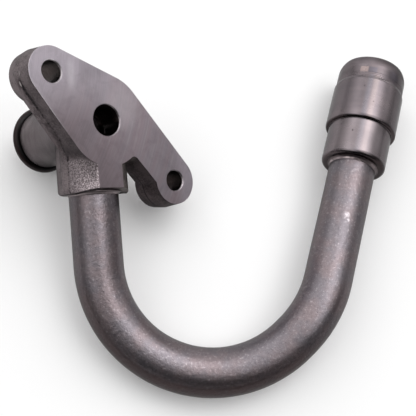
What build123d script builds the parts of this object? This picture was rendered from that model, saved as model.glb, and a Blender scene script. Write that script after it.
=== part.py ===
from build123d import *
import os
from math import cos, radians, sin, tan

# Oil pump discharge tube: a forged two-bolt flange, a bent steel tube brazed into its neck,
# a turned end fitting brazed on the other end, and a sealing ring on the rear spigot.
# Millimetres and degrees. Each piece is drawn in the flange's frame: the port centre on the
# milled face is the origin, +Z leaves that face, and the tube leaves the neck toward -Y.

# Tube
tube_od = 20.0
tube_wall = 3.5
bend_radius = 46.2            # of both bends, at the tube's centre line
bend_start = 57.0             # from the port centre to the first bend
first_bend = 129.4
middle_run = 1.9
second_bend = 34.3
bend_heading = 38.5           # the first bend's direction, from +X toward +Z
bend_twist = -35.5            # between the planes of the two bends
last_run = 53.2               # from the second bend to the end fitting's lower face

# Flange plate
web_thickness = 13.5
ear_thickness = 15.0          # at the raised pads around the bolt holes
parting_depth = 8.5           # from the milled face back to the forging's parting line
draft = 5.0
port_boss_radius = 18.2       # at the milled face
ear_radius = 9.8              # at the milled face
hole_line_angle = -36.5       # the two bolt holes and the port lie on this line
short_arm = 29.4              # from the port to the upper bolt hole
long_arm = 40.4               # from the port to the lower bolt hole
long_arm_edge_angle = -47.4   # the long arm's lower edge, which points at the port centre
notch_fillet = 1.5            # between the long arm and the port boss, at the parting line
ear_fillet = 0.6              # between the long arm and its ear, at the parting line
back_rounding = 2.0
pad_rounding = 1.2
bolt_hole = 8.5
bolt_chamfer = 0.45

# Port, neck and rear spigot
port_bore = 12.4
port_chamfer = 0.4
tube_depth = 12.8             # of the tube's axis behind the milled face
neck_radius = 14.0
neck_length = 28.3            # from the port centre to the neck's end, at the parting line
neck_front_draft = 12.0       # of the neck's end, in front of the parting line
neck_back_draft = 2.0
neck_rounding = 1.6
socket_depth = 14.0           # how far the tube goes into the neck
spigot_drop = 1.1             # of the spigot's axis below the port centre
spigot_radius = 12.0
spigot_bore = 14.0
spigot_bore_depth = 28.0
outlet_throat = 12.0          # the narrower way from the spigot's bore to the crossing
spigot_length = 52.0          # from the milled face to the spigot's end
spigot_chamfer = 0.8
groove_start = 46.0           # from the milled face to the groove's near wall
groove_depth = 1.6

# Sealing ring
ring_section = 3.6
ring_clearance = 0.1

# End fitting, with lengths along its axis from its lower face
fitting_length = 49.2
collar_radius = 13.85
collar_length = 17.3
collar_rounding = 1.6
head_radius = 15.47
head_rounding = 0.8
head_length = 20.0            # of the plain part, up to the step
band_radius = 14.95
band_step = 0.8               # height of the cone between the plain part and the band
band_length = 6.5             # from the step to the rounded end
rim_radius = 13.6
fitting_seat = 15.0           # how far the tube goes into the fitting
mouth_bore = 21.0
mouth_depth = 26.0
mouth_chamfer = 1.0

# Brazing
braze_gap = 0.1               # between the tube and the bores that it is brazed into
braze_clearance = 0.05        # around the hardened braze fillets
neck_countersink = 1.5
neck_braze_rise = 0.8         # of the fillet beyond the neck, along the tube
neck_braze_depth = 0.6        # of the fillet's outer edge inside the countersink
fitting_braze_rise = 1.9
fitting_braze_width = 1.7

# A direction near the one that points down when the part lies at rest
down_guess = Vector(0.54, -0.29, -0.79)

on_end = (Align.CENTER, Align.CENTER, Align.MIN)
tube_radius = tube_od / 2
tube_bore = tube_od - 2 * tube_wall
short_ear = Pos(-short_arm * cos(radians(hole_line_angle)), -short_arm * sin(radians(hole_line_angle)))
long_ear = Pos(long_arm * cos(radians(hole_line_angle)), long_arm * sin(radians(hole_line_angle)))

# The tube's path as a chain of places, whose Z is the direction of travel and X the inside of the bend
tube_start = neck_length - socket_depth
heading = Vector(cos(radians(bend_heading)), 0, sin(radians(bend_heading)))
tube_entry = Plane(origin=(0, -tube_start, -tube_depth), x_dir=heading, z_dir=(0, -1, 0)).location


def after_bend(place, angle):
    return place * Pos(bend_radius, 0, 0) * Rot(0, angle, 0) * Pos(-bend_radius, 0, 0)


first_bend_place = tube_entry * Pos(0, 0, bend_start - tube_start)
middle_place = after_bend(first_bend_place, first_bend) * Rot(0, 0, bend_twist)
second_bend_place = middle_place * Pos(0, 0, middle_run)
last_place = after_bend(second_bend_place, second_bend)
fitting_place = last_place * Pos(0, 0, last_run)


def y_axis_of(place):
    return (place * Pos(0, 1, 0)).position - place.position


def z_axis_of(place):
    return (place * Pos(0, 0, 1)).position - place.position


def straight(place, length):
    section = Circle(tube_radius) - Circle(tube_bore / 2)
    return extrude(place * section, amount=length, dir=z_axis_of(place))


def bend(place, angle):
    section = Circle(tube_radius) - Circle(tube_bore / 2)
    centre = (place * Pos(bend_radius, 0, 0)).position
    return revolve(place * section, axis=Axis(centre, y_axis_of(place)), revolution_arc=angle)


def discharge_tube():
    first = straight(tube_entry, bend_start - tube_start)
    last = straight(last_place, last_run + fitting_seat)
    bends = bend(first_bend_place, first_bend) + bend(second_bend_place, second_bend)
    return first + bends + straight(middle_place, middle_run) + last


def plate_outline():
    # The outline at the parting line, where the draft makes the plate largest
    grow = parting_depth * tan(radians(draft))
    port_circle = Circle(port_boss_radius + grow)
    short_circle = short_ear * Circle(ear_radius + grow)
    long_circle = long_ear * Circle(ear_radius + grow)
    reach = 2 * long_arm
    above_edge = Rot(0, 0, long_arm_edge_angle) * Pos(0, reach / 2 - grow) * Rectangle(2 * reach, reach)
    short_side = make_hull([short_circle.edge(), port_circle.edge()])
    long_side = make_hull([long_circle.edge(), port_circle.edge()]) & above_edge
    outline = short_side + long_side + port_circle + long_circle
    edge_direction = Vector(1, 0).rotate(Axis.Z, long_arm_edge_angle)
    inner_corners = outline.vertices().filter_by(lambda v: is_inner_corner(v, edge_direction, grow))
    notch, ear_corner = inner_corners.sort_by(lambda v: Vector(v).length)
    outline = fillet(notch, notch_fillet)
    ear_corner = outline.vertices().sort_by_distance(ear_corner)[0]
    return fillet(ear_corner, ear_fillet)


def is_inner_corner(vertex, edge_direction, grow):
    # On the long arm's lower edge, which lies grow below the line through the port centre
    point = Vector(vertex)
    side = edge_direction.cross(point).Z
    return point.dot(edge_direction) > 0 and abs(side + grow) < 0.001


def plate():
    outline = Pos(0, 0, -parting_depth) * plate_outline()
    front = extrude(outline, amount=parting_depth, dir=(0, 0, 1), taper=draft)
    back = extrude(outline, amount=web_thickness - parting_depth, dir=(0, 0, -1), taper=draft)
    return front + rounded_back(back, back_rounding)


def ear_pads():
    # Raised a little behind the web, where the bolt heads sit
    disc = Pos(0, 0, -parting_depth) * Circle(ear_radius + parting_depth * tan(radians(draft)))
    pad = extrude(disc, amount=ear_thickness - parting_depth, dir=(0, 0, -1), taper=draft)
    pad = rounded_back(pad, pad_rounding)
    return short_ear * pad + long_ear * pad


def rounded_back(body, radius):
    return fillet(body.faces().sort_by(Axis.Z)[0].edges(), radius)


def neck():
    # A round bar along the tube, with drafted ends on both sides of the parting line
    bar = Pos(0, 0, -tube_depth) * Rot(90, 0, 0) * extrude(Circle(neck_radius), amount=2 * neck_length)
    back_depth = tube_depth + neck_radius
    front_end = -neck_length + parting_depth * tan(radians(neck_front_draft))
    back_end = -neck_length + (back_depth - parting_depth) * tan(radians(neck_back_draft))
    side_view = Plane.YZ * Polygon(
        (0, 0), (front_end, 0), (-neck_length, -parting_depth), (back_end, -back_depth), (0, -back_depth),
        align=None)
    bar = bar & extrude(side_view, amount=neck_radius, both=True)
    back_half = Pos(0, -neck_length / 2, -back_depth) * Box(
        3 * neck_radius, 2 * neck_length, 2 * (back_depth - parting_depth))
    rear = bar & back_half
    end_face = rear.faces().filter_by(GeomType.PLANE).sort_by(Axis.Y)[0]
    rim = end_face.edges().filter_by(GeomType.LINE, reverse=True)
    return (bar - back_half) + fillet(rim, neck_rounding)


def spigot():
    # The turned rear boss with its ring groove
    floor_radius = spigot_radius - groove_depth
    groove_end = groove_start + ring_section + 2 * ring_clearance
    profile = Polyline(
        (0, -tube_depth), (spigot_radius, -tube_depth), (spigot_radius, -groove_start),
        (floor_radius, -groove_start), (floor_radius, -groove_end), (spigot_radius, -groove_end),
        (spigot_radius, -spigot_length + spigot_chamfer), (spigot_radius - spigot_chamfer, -spigot_length),
        (0, -spigot_length), (0, -tube_depth))
    return Pos(0, -spigot_drop, 0) * revolve(Plane.XZ * make_face(profile.edges()), axis=Axis.Z)


def knuckle():
    # The ball where the neck and the spigot cross, kept behind the milled face
    ball = Pos(0, 0, -tube_depth) * Sphere(neck_radius)
    return ball - Pos(0, 0, neck_radius) * Box(4 * neck_radius, 4 * neck_radius, 2 * neck_radius)


def bolt_holes():
    cut = Part()
    for ear in (short_ear, long_ear):
        cut += ear * Pos(0, 0, -ear_thickness / 2) * Cylinder(bolt_hole / 2, 2 * ear_thickness)
        cone = Cone(bolt_hole / 2 + bolt_chamfer, bolt_hole / 2, bolt_chamfer, align=on_end)
        cut += ear * Rot(180, 0, 0) * cone
        cut += ear * Pos(0, 0, -ear_thickness) * cone
    return cut


def oil_ways():
    # The port and the spigot's stepped bore meet the tube's socket behind the milled face
    along_tube = Pos(0, 0, -tube_depth) * Rot(90, 0, 0)
    port = Pos(0, 0, -tube_depth) * Cylinder(port_bore / 2, 2 * tube_depth, align=on_end)
    port += Pos(0, 0, -port_chamfer) * Cone(
        port_bore / 2, port_bore / 2 + port_chamfer, port_chamfer, align=on_end)
    spigot_end = Pos(0, -spigot_drop, -spigot_length)
    outlet = spigot_end * Cylinder(spigot_bore / 2, spigot_bore_depth, align=on_end)
    outlet += spigot_end * Cylinder(outlet_throat / 2, spigot_length - tube_depth, align=on_end)
    cross_bore = along_tube * Cylinder(tube_bore / 2, neck_length, align=on_end)
    socket = along_tube * Pos(0, 0, tube_start) * Cylinder(
        tube_radius + braze_gap, 2 * socket_depth, align=on_end)
    countersink = along_tube * Pos(0, 0, neck_length - neck_countersink) * Cone(
        tube_radius + braze_gap, tube_radius + braze_gap + neck_countersink, neck_countersink,
        align=on_end)
    return port + outlet + cross_bore + socket + countersink


def flange_body():
    forging = plate() + ear_pads() + neck() + knuckle() + spigot()
    return forging - bolt_holes() - oil_ways()


def sealing_ring():
    centre_radius = spigot_radius - groove_depth + ring_clearance + ring_section / 2
    depth = groove_start + ring_clearance + ring_section / 2
    return Pos(0, -spigot_drop, -depth) * Torus(centre_radius, ring_section / 2)


def end_fitting():
    head_end = collar_length + head_length
    band_end = head_end + band_step + band_length
    outside = Polyline(
        (collar_radius, collar_rounding), (collar_radius, collar_length),
        (head_radius - head_rounding, collar_length))
    lower_corner = RadiusArc(
        (collar_radius - collar_rounding, 0), (collar_radius, collar_rounding), -collar_rounding)
    head_corner = RadiusArc(
        (head_radius - head_rounding, collar_length), (head_radius, collar_length + head_rounding),
        -head_rounding)
    upper = Polyline(
        (head_radius, collar_length + head_rounding), (head_radius, head_end),
        (band_radius, head_end + band_step), (band_radius, band_end))
    shoulder = TangentArc((band_radius, band_end), (rim_radius, fitting_length), tangent=(0, 1))
    inside = Polyline(
        (rim_radius, fitting_length), (mouth_bore / 2 + mouth_chamfer, fitting_length),
        (mouth_bore / 2, fitting_length - mouth_chamfer), (mouth_bore / 2, fitting_length - mouth_depth),
        (tube_bore / 2, fitting_length - mouth_depth), (tube_bore / 2, fitting_seat),
        (tube_radius + braze_gap, fitting_seat), (tube_radius + braze_gap, 0),
        (collar_radius - collar_rounding, 0))
    runs = (outside, lower_corner, head_corner, upper, shoulder, inside)
    edges = [edge for run in runs for edge in run.edges()]
    return fitting_place * revolve(Plane.XZ * make_face(edges), axis=Axis.Z)


def braze_fillet(points, hollow):
    # A turned ring whose open face sags inward, drawn as radius and height
    outer, inner = points[-1], points[0]
    face = ThreePointArc(outer, hollow, inner)
    section = make_face(Polyline(*points).edges() + face.edges())
    return revolve(Plane.XZ * section, axis=Axis.Z)


def neck_braze():
    # It fills the countersink around the tube and climbs a little along the tube
    inner = tube_radius + braze_clearance
    seat = tube_radius + braze_gap + neck_countersink - 1.5 * braze_clearance
    place = Location((0, -neck_length, -tube_depth)) * Rot(90, 0, 0)
    outer_edge = (seat - neck_braze_depth, -neck_braze_depth)
    points = [(inner, neck_braze_rise), (inner, inner - seat), outer_edge]
    hollow = ((2 * inner + outer_edge[0]) / 3, (neck_braze_rise - 2 * neck_braze_depth) / 3)
    return place * braze_fillet(points, hollow)


def fitting_braze():
    # It lies against the fitting's lower face and runs out along the tube
    inner = tube_radius + braze_clearance
    points = [(inner, -fitting_braze_rise), (inner, 0), (inner + fitting_braze_width, 0)]
    hollow = (inner + 0.28 * fitting_braze_width, -0.28 * fitting_braze_rise)
    return fitting_place * braze_fillet(points, hollow)


def lowest_point(centre, axis, radius, section, down):
    # Of a ring with a round section, looking along down
    across = (down - axis * down.dot(axis)).normalized()
    return centre + across * radius + down * section


def resting_points(down):
    # The spigot's end, the first bend and the fitting's head carry the part
    spigot_points = [
        lowest_point(Vector(0, -spigot_drop, -depth), Vector(0, 0, 1), radius, 0, down)
        for depth, radius in (
            (spigot_length, spigot_radius - spigot_chamfer), (spigot_length - spigot_chamfer, spigot_radius))]
    bend_centre = (first_bend_place * Pos(bend_radius, 0, 0)).position
    bend_point = lowest_point(bend_centre, y_axis_of(first_bend_place), bend_radius, tube_radius, down)
    axis = z_axis_of(fitting_place)
    head_points = [
        lowest_point(fitting_place.position + axis * height, axis, radius, 0, down)
        for height, radius in (
            (collar_length + head_rounding, head_radius),
            (collar_length + head_length, head_radius),
            (collar_length + head_length + band_step + band_length, band_radius))]
    spigot_point = max(spigot_points, key=lambda point: point.dot(down))
    head_point = max(head_points, key=lambda point: point.dot(down))
    return spigot_point, bend_point, head_point


def floor_plane():
    # Tips the part until the plane through its three lowest points no longer changes
    down = down_guess.normalized()
    for _ in range(40):
        a, b, c = resting_points(down)
        normal = (b - a).cross(c - a).normalized()
        down = normal if normal.dot(down) > 0 else -normal
    spigot_point, _, head_point = resting_points(down)
    along = head_point - spigot_point
    return Plane(origin=spigot_point, x_dir=along, z_dir=-down)


def placed(pieces):
    # Lays the pieces on the floor, with the origin under the middle of their box
    to_floor = floor_plane().location.inverse()
    boxes = [(to_floor * piece).bounding_box() for piece in pieces.values()]
    lowest = [min(getattr(box.min, axis) for box in boxes) for axis in "XYZ"]
    highest = [max(getattr(box.max, axis) for box in boxes) for axis in "XYZ"]
    middle_x, middle_y = [(lowest[i] + highest[i]) / 2 for i in range(2)]
    place = Pos(-middle_x, -middle_y, -lowest[2]) * to_floor
    return {name: place * piece for name, piece in pieces.items()}, place


def main():
    pieces = {
        "flange_body": flange_body(),
        "discharge_tube": discharge_tube(),
        "end_fitting": end_fitting(),
        "sealing_ring": sealing_ring(),
        "neck_braze": neck_braze(),
        "fitting_braze": fitting_braze()}
    lying, _ = placed(pieces)
    os.makedirs("parts", exist_ok=True)
    for name, piece in lying.items():
        piece.label = name
        export_step(piece, f"parts/{name}.step")
        print(name, "solids", len(piece.solids()), "volume", round(piece.volume))


if __name__ == "__main__":
    main()
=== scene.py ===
# Looks for the oil pump discharge tube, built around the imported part. Metres, in the part's own frame.
import math
import bmesh
import bpy
import numpy as np
from mathutils import Matrix, Vector


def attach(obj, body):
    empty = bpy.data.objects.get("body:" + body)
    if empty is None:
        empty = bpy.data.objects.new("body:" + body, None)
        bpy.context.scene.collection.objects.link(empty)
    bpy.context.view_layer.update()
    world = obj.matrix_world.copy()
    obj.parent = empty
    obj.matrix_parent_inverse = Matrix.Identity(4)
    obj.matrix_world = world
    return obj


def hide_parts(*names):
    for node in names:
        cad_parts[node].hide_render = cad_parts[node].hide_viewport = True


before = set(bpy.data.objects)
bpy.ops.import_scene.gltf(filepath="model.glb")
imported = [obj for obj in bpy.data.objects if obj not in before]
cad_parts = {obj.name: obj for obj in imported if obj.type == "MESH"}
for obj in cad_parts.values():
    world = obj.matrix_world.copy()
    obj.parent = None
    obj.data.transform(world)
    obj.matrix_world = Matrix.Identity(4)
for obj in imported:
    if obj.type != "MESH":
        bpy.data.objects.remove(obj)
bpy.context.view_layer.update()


print("frame loaded:", ", ".join(sorted(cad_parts)))

mm = 0.001

# The flange's own frame: origin at the port on the milled face, z out of that face, the tube leaves toward -y
flangePlace = {
    "origin": (-49.5613, 40.7590, 48.0093),
    "x": (0.830608, 0.101347, -0.547558),
    "y": (0.078250, 0.952300, 0.294959),
    "z": (0.551333, -0.287842, 0.783058),
    "spigotDrop": 1.1,        # of the spigot's axis below the port centre
    "neckLength": 28.3,       # from the port centre to the neck's end
}

# The tube's route in that frame, in millimetres and degrees, as the part has it
route = {
    "depth": 12.8,            # of the tube's axis behind the milled face
    "start": 14.3,            # from the port centre to the tube's hidden end
    "bendStart": 57.0,
    "bendRadius": 46.2,
    "firstBend": 129.4,
    "middleRun": 1.9,
    "secondBend": 34.3,
    "heading": 38.5,
    "twist": -35.5,
    "lastRun": 53.2,          # up to the end fitting's lower face
    "seat": 15.0,             # of the tube inside the fitting
    "spacing": 0.5,           # between the places that the tube's surface is worked out at
}


# Places are 4x4 arrays, in millimetres
def placeFrom(origin, x, y, z):
    place = np.eye(4)
    place[:3, :] = np.column_stack((x, y, z, origin))
    return place


def shift(x, y, z):
    place = np.eye(4)
    place[:3, 3] = (x, y, z)
    return place


def turn(axis, degrees):
    return np.array(Matrix.Rotation(math.radians(degrees), 4, axis))


# Places along a straight: the start place moved along its own z by each distance
def straightPlaces(start, length, count):
    steps = np.tile(np.eye(4), (count, 1, 1))
    steps[:, 2, 3] = np.linspace(0, length, count)
    return start @ steps


# Places along a bend: the start place swung about the y axis that stands one bend radius away on its x side
def bendPlaces(start, radius, degrees, count):
    angle = np.radians(np.linspace(0, degrees, count))
    steps = np.tile(np.eye(4), (count, 1, 1))
    steps[:, 0, 0] = steps[:, 2, 2] = np.cos(angle)
    steps[:, 0, 2] = np.sin(angle)
    steps[:, 2, 0] = -np.sin(angle)
    steps[:, 0, 3] = radius * (1 - np.cos(angle))
    steps[:, 2, 3] = radius * np.sin(angle)
    return start @ steps


flangeAxes = placeFrom(flangePlace["origin"], flangePlace["x"], flangePlace["y"], flangePlace["z"])
heading = math.radians(route["heading"])
inside = np.array((math.cos(heading), 0, math.sin(heading)))
along = np.array((0, -1, 0))
tubeEntry = flangeAxes @ placeFrom((0, -route["start"], -route["depth"]), inside, np.cross(along, inside), along)


def rowCount(length):
    return max(2, int(round(length / route["spacing"])))


# The whole route: a straight, a bend, a short straight turned by the twist, a second bend and the last straight
def routePlaces():
    def straight(start, length):
        return straightPlaces(start, length, rowCount(length))

    def bend(start, degrees):
        return bendPlaces(start, route["bendRadius"], degrees, rowCount(math.radians(degrees) * route["bendRadius"]))

    first = straight(tubeEntry, route["bendStart"] - route["start"])
    bendOne = bend(first[-1], route["firstBend"])
    middle = straight(bendOne[-1] @ turn("Z", route["twist"]), route["middleRun"])
    bendTwo = bend(middle[-1], route["secondBend"])
    last = straight(bendTwo[-1], route["lastRun"] + route["seat"])
    # The twist would turn the grid's columns by a step, so the places after it are turned back about their own axis
    back = turn("Z", -route["twist"])
    places = np.concatenate((first, bendOne[1:], middle[1:] @ back, bendTwo[1:] @ back, last[1:] @ back))
    fittingPlace = bendTwo[-1] @ shift(0, 0, route["lastRun"])
    return places, fittingPlace


routeFrames, fittingPlace = routePlaces()
spigotPlace = flangeAxes @ shift(0, -flangePlace["spigotDrop"], 0)
neckPlace = flangeAxes @ shift(0, -flangePlace["neckLength"], -route["depth"]) @ turn("X", 90)
print("route worked out:", len(routeFrames), "places")


# A mesh through a grid of points, rows by columns, closed around the columns and around the rows
def gridPiece(name, points):
    rows, columns = points.shape[:2]
    index = np.arange(rows * columns).reshape(rows, columns)
    nextColumn = np.roll(index, -1, axis=1)
    nextRow, nextBoth = np.roll(index, -1, axis=0), np.roll(nextColumn, -1, axis=0)
    faces = np.stack((index, nextColumn, nextBoth, nextRow), axis=-1).reshape(-1, 4)
    mesh = bpy.data.meshes.new(name)
    mesh.vertices.add(rows * columns)
    mesh.vertices.foreach_set("co", (points * mm).astype(np.float32).ravel())
    mesh.loops.add(faces.size)
    mesh.loops.foreach_set("vertex_index", faces.ravel().astype(np.int32))
    mesh.polygons.add(len(faces))
    mesh.polygons.foreach_set("loop_start", np.arange(0, faces.size, 4, dtype=np.int32))
    mesh.update(calc_edges=True)
    mesh.validate()
    mesh.shade_smooth()
    piece = bpy.data.objects.new(name, mesh)
    bpy.context.scene.collection.objects.link(piece)
    return piece


# A profile of (radius, height) turned about a place's z: x = r cos a, y = r sin a, z = h
def turned(place, profile, columns, wobble=0):
    angle = np.linspace(0, 2 * np.pi, columns, endpoint=False)
    radius = profile[:, :1] + np.zeros(columns) + wobble
    height = profile[:, 1:] + np.zeros(columns)
    local = np.stack((radius * np.cos(angle), radius * np.sin(angle), height, np.ones_like(radius)), axis=-1)
    return (local @ place.T)[..., :3]


# Points along an arc in the profile plane, from one angle to another
def arcPoints(centre, radius, start, end, count):
    angle = np.radians(np.linspace(start, end, count))
    return np.column_stack((centre[0] + radius * np.cos(angle), centre[1] + radius * np.sin(angle)))


# Smooth seeded unevenness over two parameters: a sum of waves with whole numbers of turns around the second one
def uneven(u, v, waves, longest, seed):
    random = np.random.default_rng(seed)
    total = np.zeros(np.broadcast(u, v).shape)
    for _ in range(waves):
        turns, length, phase = random.integers(0, 5), longest * random.uniform(0.25, 1), random.uniform(0, 2 * np.pi)
        total += np.sin(2 * np.pi * u / length + turns * v + phase) / math.sqrt(waves)
    return total


tubeShape = {
    "radius": 10.0,
    "bore": 6.5,
    "columns": 144,
    "boreStep": 4,            # the bore has one row for each so many of the outside
    "waviness": 0.02,
    "waves": 14,
    "longestWave": 60,
    "seed": 3,
    "sharp": 40,
}


# The wall's section carried along the route: out along the outside, back along the bore, closed at both ends
def tubeSurface():
    t = tubeShape
    s = np.arange(len(routeFrames))[:, None] * route["spacing"]
    a = np.linspace(0, 2 * np.pi, t["columns"], endpoint=False)
    radius = t["radius"] + t["waviness"] * uneven(s, a, t["waves"], t["longestWave"], t["seed"])
    outer = np.stack((np.cos(a) * radius, np.sin(a) * radius, np.zeros_like(radius), np.ones_like(radius)), axis=-1)
    outer = np.einsum("rij,rcj->rci", routeFrames, outer)[..., :3]
    ring = np.stack((np.cos(a), np.sin(a), np.zeros_like(a), np.ones_like(a)), axis=-1) * (t["bore"], t["bore"], 0, 1)
    inner = np.einsum("rij,cj->rci", routeFrames[::-t["boreStep"]], ring)[..., :3]
    end = np.einsum("ij,cj->ci", routeFrames[0], ring)[None, :, :3]
    return np.concatenate((outer, inner, end))


tube = gridPiece("dischargeTubeSkin", tubeSurface())
tube.data.set_sharp_from_angle(angle=math.radians(tubeShape["sharp"]))
print("discharge tube:", len(tube.data.polygons), "faces")


fittingShape = {
    "columns": 192,
    "length": 49.2,
    "collar": 13.85,          # radii
    "head": 15.47,
    "band": 14.95,
    "mouth": 10.5,
    "tubeHole": 10.03,
    "oilWay": 6.5,
    "collarRounding": 1.6,
    "cornerRounding": 0.35,   # between the collar and the head's lower face
    "headRounding": 0.8,
    "endRounding": 8.512,
    "endArc": (1.5, 32.7),    # degrees that the end's rounding runs over
    "headStart": 17.3,        # heights along the axis from the lower face
    "bandStart": 36.9,
    "bandCone": 1.5,
    "endStart": 44.6,         # where the outside turns in towards the mouth
    "mouthDepth": 26.0,
    "mouthChamfer": 1.0,
    "grooves": (38.9, 39.7, 40.5),
    "grooveDepth": 0.07,
    "grooveWidth": (0.16, 0.05),  # half of it at the top and at the bottom
    "collarRows": (6.0, 11.0),    # heights of points in between
    "headRows": (24.0, 31.0),
    "mouthRow": 30.0,
    "sharp": 28,
}


# The turned outline as (radius, height), from the tube's hole round the outside and back up the mouth. The step to
# the band is half a cosine wave: radius = head - (head - band) * (1 - cos(pi t)) / 2 while the height climbs the cone
def fittingProfile():
    f = fittingShape
    collar, head, band, corner = f["collar"], f["head"], f["band"], f["cornerRounding"]
    top, bottom = f["grooveWidth"]
    floor = band - f["grooveDepth"]
    grooves = [((band, h - top), (floor, h - bottom), (floor, h + bottom), (band, h + top)) for h in f["grooves"]]
    t = np.array((0.0, 0.15, 0.3, 0.5, 0.7, 0.85, 1.0))
    cone = np.column_stack((head - (head - band) * (1 - np.cos(np.pi * t)) / 2, f["bandStart"] + f["bandCone"] * t))
    mouthFloor = f["length"] - f["mouthDepth"]
    parts = [
        [(f["tubeHole"], route["seat"]), (f["tubeHole"], 0.0), (collar - f["collarRounding"], 0.0)],
        arcPoints((collar - f["collarRounding"], f["collarRounding"]), f["collarRounding"], -90, 0, 9)[1:],
        [(collar, h) for h in (*f["collarRows"], f["headStart"] - corner)],
        arcPoints((collar + corner, f["headStart"] - corner), corner, 180, 90, 5)[1:],
        arcPoints((head - f["headRounding"], f["headStart"] + f["headRounding"]), f["headRounding"], -90, 0, 7),
        [(head, h) for h in (*f["headRows"], f["bandStart"] - 0.2)],
        cone,
        np.concatenate(grooves),
        [(band, f["endStart"] - 0.3)],
        arcPoints((band - f["endRounding"], f["endStart"]), f["endRounding"], *f["endArc"], 10),
        [(f["mouth"] + f["mouthChamfer"], f["length"]), (f["mouth"], f["length"] - f["mouthChamfer"])],
        [(f["mouth"], f["mouthRow"]), (f["mouth"], mouthFloor)],
        [(f["oilWay"], mouthFloor), (f["oilWay"], route["seat"])],
    ]
    return np.concatenate([np.asarray(part, float) for part in parts])


fitting = gridPiece("endFittingTurned", turned(fittingPlace, fittingProfile(), fittingShape["columns"]))
fitting.data.set_sharp_from_angle(angle=math.radians(fittingShape["sharp"]))
print("end fitting:", len(fitting.data.polygons), "faces")

ringShape = {
    "centre": 12.3,
    "section": 1.8,
    "depth": 47.9,            # behind the milled face
    "flash": 0.05,
    "flashWidth": 0.06,
    "columns": 220,
    "rows": 48,
}


# A circle carried round a circle, with a thin line of moulding flash on its outer and inner equator
def ringSurface():
    b = np.linspace(0, 2 * np.pi, ringShape["rows"], endpoint=False)
    section = ringShape["section"] + ringShape["flash"] * np.exp(-(np.sin(b) / ringShape["flashWidth"]) ** 2)
    profile = np.column_stack((ringShape["centre"] + section * np.cos(b), section * np.sin(b)))
    return turned(spigotPlace @ shift(0, 0, -ringShape["depth"]), profile, ringShape["columns"])


ring = gridPiece("sealingRingMoulded", ringSurface())
print("sealing ring:", len(ring.data.polygons), "faces")

brazeShape = {
    "columns": 160,
    "ripple": 0.07,
    "inner": 9.98,            # radius at the tube
    "sunk": 0.6,              # how far the bead goes on down beside the tube
    "tuck": 0.3,
    "sag": (0.62, 1.7),       # powers of the way up, for the radius and for the height
    "steps": 9,
    "waves": (9, 6),          # wide ones and fine ones
    "fineTurns": 7,
    "fineShare": 0.5,
    "fitting": {"outer": 11.2, "low": 0.05, "high": 1.35, "seed": 11},
    "neck": {"outer": 11.3, "low": -0.6, "high": 0.5, "seed": 12},
}


# A sagging fillet turned about the tube: radius = outer + (inner - outer) * t^0.62 and height = low + (high - low) *
# t^1.7, where waves around the tube make its reach wander a little, as melted metal does
def brazeSurface(place, bead):
    b, inner, outer, low = brazeShape, brazeShape["inner"], bead["outer"], bead["low"]
    t = np.linspace(0, 1, b["steps"])
    sag = np.column_stack((outer + (inner - outer) * t ** b["sag"][0], low + (bead["high"] - low) * t ** b["sag"][1]))
    base = [(inner, low - b["sunk"]), (outer - b["tuck"], low - b["sunk"])]
    angle = np.linspace(0, 2 * np.pi, b["columns"], endpoint=False)
    free = np.concatenate(((0, 0), np.sin(np.pi * np.clip(t + 0.12, 0, 1)) ** 0.7))[:, None]
    wide, fine = b["waves"]
    ripple = uneven(0, angle, wide, 1, bead["seed"])
    ripple = ripple + b["fineShare"] * uneven(0, b["fineTurns"] * angle, fine, 1, bead["seed"] + 1)
    return turned(place, np.concatenate((base, sag)), b["columns"], b["ripple"] * free * ripple)


fittingBraze = gridPiece("fittingBrazeBead", brazeSurface(fittingPlace @ turn("X", 180), brazeShape["fitting"]))
neckBraze = gridPiece("neckBrazeBead", brazeSurface(neckPlace, brazeShape["neck"]))
print("braze beads:", len(fittingBraze.data.polygons) + len(neckBraze.data.polygons), "faces")

flangeShape = {
    "edgeBreak": 0.2,
    "segments": 2,
    "sharp": 26,
    "flat": 0.4,              # degrees below which two triangles are one flat face
    "holeZone": 6.5,          # around a bolt hole, where edges stay sharp
    "portZone": 7.1,
    "boltHoles": (-29.4, 40.4),  # from the port, along the line that both holes lie on
    "holeLine": -36.5,        # that line's angle
}
holeLine = math.radians(flangeShape["holeLine"])
boltHoles = [(distance * math.cos(holeLine), distance * math.sin(holeLine)) for distance in flangeShape["boltHoles"]]


# Weight 1 on each sharp edge, but 0 around the bolt holes and the port, which keep their own chamfers
def markEdges(mesh):
    count = len(mesh.vertices)
    points = np.empty(count * 3, np.float32)
    mesh.vertices.foreach_get("co", points)
    local = (np.c_[points.reshape(-1, 3) / mm, np.ones(count)] @ np.linalg.inv(flangeAxes).T)[:, :3]
    free = np.hypot(local[:, 0], local[:, 1]) > flangeShape["portZone"]
    for x, y in boltHoles:
        free &= np.hypot(local[:, 0] - x, local[:, 1] - y) > flangeShape["holeZone"]
    ends = np.empty(len(mesh.edges) * 2, np.int32)
    mesh.edges.foreach_get("vertices", ends)
    weight = free[ends].reshape(-1, 2).all(axis=1).astype(np.float32)
    mesh.set_sharp_from_angle(angle=math.radians(flangeShape["sharp"]))
    sharp = np.zeros(len(mesh.edges), bool)
    mesh.attributes["sharp_edge"].data.foreach_get("value", sharp)
    mesh.attributes.new("bevel_weight_edge", "FLOAT", "EDGE").data.foreach_set("value", weight * sharp)


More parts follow.
